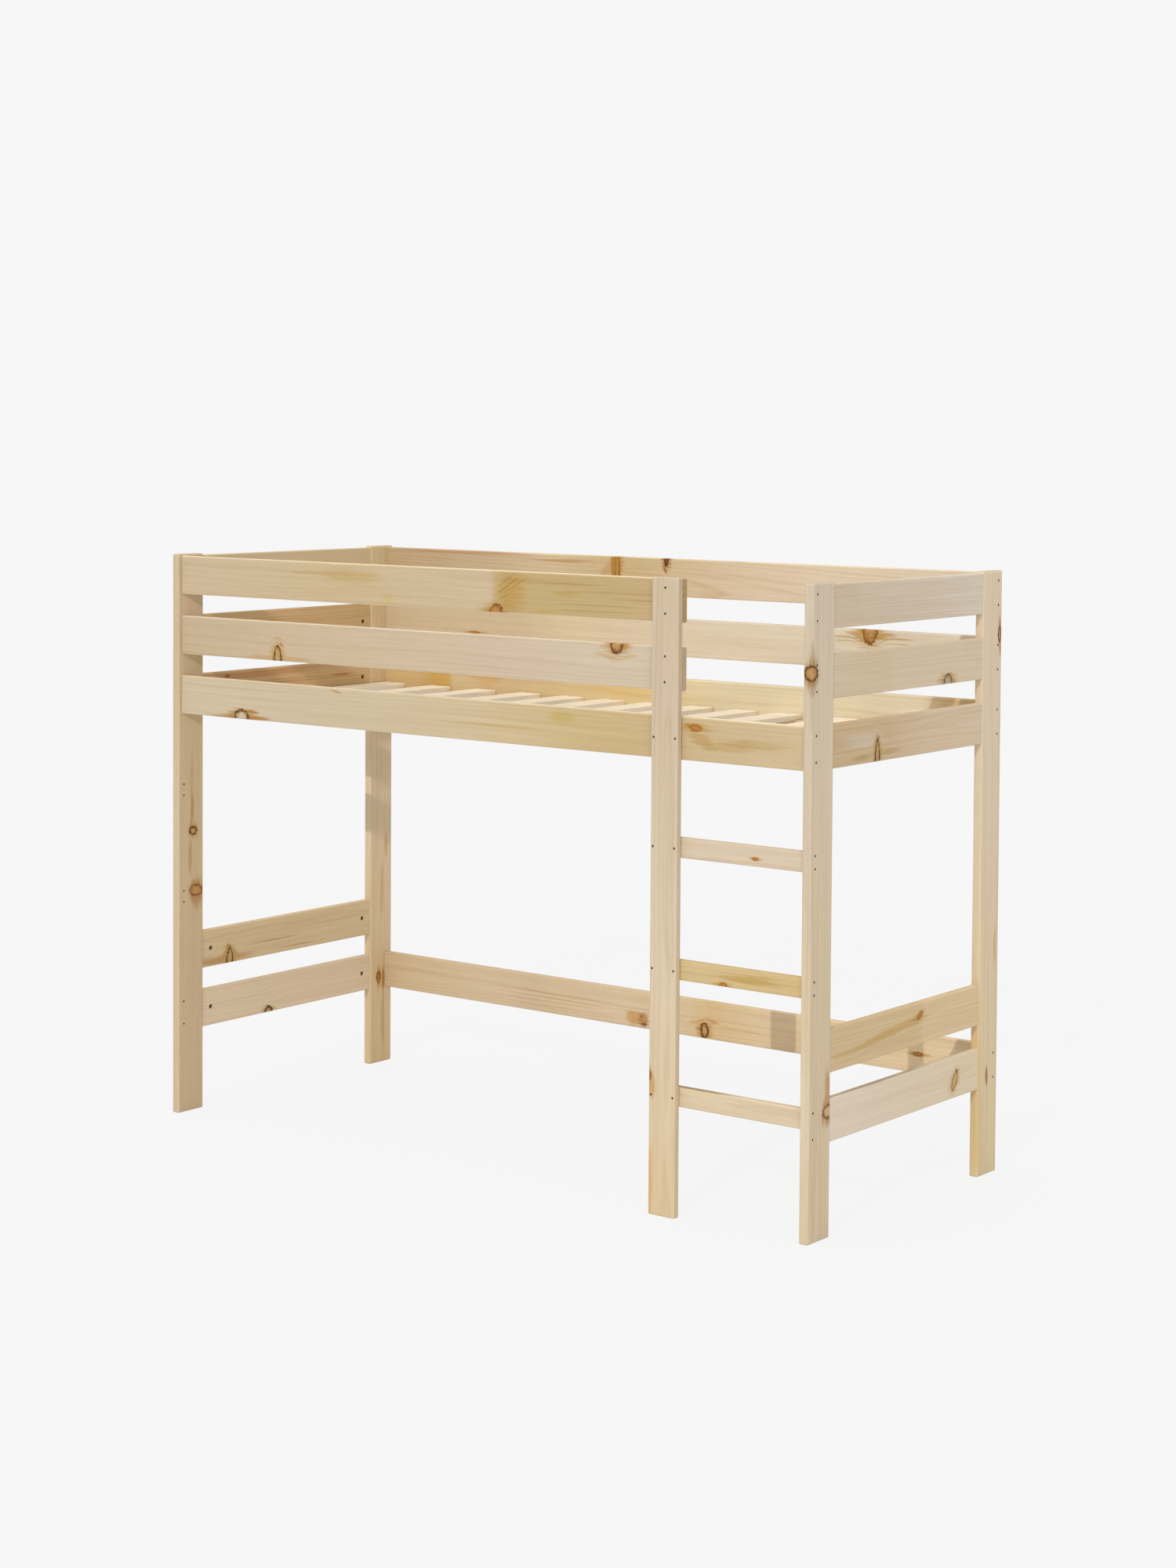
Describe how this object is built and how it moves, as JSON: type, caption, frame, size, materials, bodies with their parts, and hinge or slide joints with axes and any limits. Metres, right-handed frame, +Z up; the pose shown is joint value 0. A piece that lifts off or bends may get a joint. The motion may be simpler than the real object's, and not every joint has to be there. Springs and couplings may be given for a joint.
{
  "type": "mid sleeper bed",
  "caption": "Pine mid sleeper bed: a raised slatted bed frame with guard rails all round, an entry gap and a short rung ladder built into one end of the front.",
  "frame": {"origin": "on the floor, under the middle of the bed's bounding box", "axes": "+Z up, +X along the bed towards the ladder end, -Y towards the ladder side"},
  "size_m": [1.98, 0.8192, 1.446],
  "materials": {
    "post_front_left": "planed pine, unfinished",
    "post_front_right": "planed pine, unfinished",
    "post_back_left": "planed pine, unfinished",
    "post_back_right": "planed pine, unfinished",
    "ladder_post": "planed pine, unfinished",
    "front_bed_rail": "planed pine, unfinished",
    "front_middle_guard_rail": "planed pine, unfinished",
    "front_top_guard_rail": "planed pine, unfinished",
    "back_low_rail": "planed pine, unfinished",
    "back_bed_rail": "planed pine, unfinished",
    "back_middle_guard_rail": "planed pine, unfinished",
    "back_top_guard_rail": "planed pine, unfinished",
    "ladder_rung_1": "planed pine, unfinished",
    "ladder_rung_2": "planed pine, unfinished",
    "ladder_rung_3": "planed pine, unfinished",
    "left_lower_low_board": "planed pine, unfinished",
    "left_upper_low_board": "planed pine, unfinished",
    "left_bed_board": "planed pine, unfinished",
    "left_middle_guard_board": "planed pine, unfinished",
    "left_top_guard_board": "planed pine, unfinished",
    "right_lower_low_board": "planed pine, unfinished",
    "right_upper_low_board": "planed pine, unfinished",
    "right_bed_board": "planed pine, unfinished",
    "right_middle_guard_board": "planed pine, unfinished",
    "right_top_guard_board": "planed pine, unfinished",
    "ledgers": "planed pine, unfinished",
    "slats": "planed pine, unfinished",
    "cams": "dull zinc"
  },
  "bodies": {
    "root": {"post_front_left": "post_front_left", "post_front_right": "post_front_right", "post_back_left": "post_back_left", "post_back_right": "post_back_right", "ladder_post": "ladder_post", "front_bed_rail": "front_bed_rail", "front_middle_guard_rail": "front_middle_guard_rail", "front_top_guard_rail": "front_top_guard_rail", "back_low_rail": "back_low_rail", "back_bed_rail": "back_bed_rail", "back_middle_guard_rail": "back_middle_guard_rail", "back_top_guard_rail": "back_top_guard_rail", "ladder_rung_1": "ladder_rung_1", "ladder_rung_2": "ladder_rung_2", "ladder_rung_3": "ladder_rung_3", "left_lower_low_board": "left_lower_low_board", "left_upper_low_board": "left_upper_low_board", "left_bed_board": "left_bed_board", "left_middle_guard_board": "left_middle_guard_board", "left_top_guard_board": "left_top_guard_board", "right_lower_low_board": "right_lower_low_board", "right_upper_low_board": "right_upper_low_board", "right_bed_board": "right_bed_board", "right_middle_guard_board": "right_middle_guard_board", "right_top_guard_board": "right_top_guard_board", "front_ledger": "ledgers", "back_ledger": "ledgers", "slat_01": "slats", "slat_02": "slats", "slat_03": "slats", "slat_04": "slats", "slat_05": "slats", "slat_06": "slats", "slat_07": "slats", "slat_08": "slats", "slat_09": "slats", "slat_10": "slats", "slat_11": "slats", "slat_12": "slats", "slat_13": "slats", "left_lower_low_cam_front": "cams", "left_lower_low_cam_back": "cams", "left_upper_low_cam_front": "cams", "left_upper_low_cam_back": "cams", "left_bed_cam_front": "cams", "left_bed_cam_back": "cams", "left_middle_guard_cam_front": "cams", "left_middle_guard_cam_back": "cams", "left_top_guard_cam_front": "cams", "left_top_guard_cam_back": "cams", "right_lower_low_cam_front": "cams", "right_lower_low_cam_back": "cams", "right_upper_low_cam_front": "cams", "right_upper_low_cam_back": "cams", "right_bed_cam_front": "cams", "right_bed_cam_back": "cams", "right_middle_guard_cam_front": "cams", "right_middle_guard_cam_back": "cams", "right_top_guard_cam_front": "cams", "right_top_guard_cam_back": "cams"}
  },
  "joints": []
}
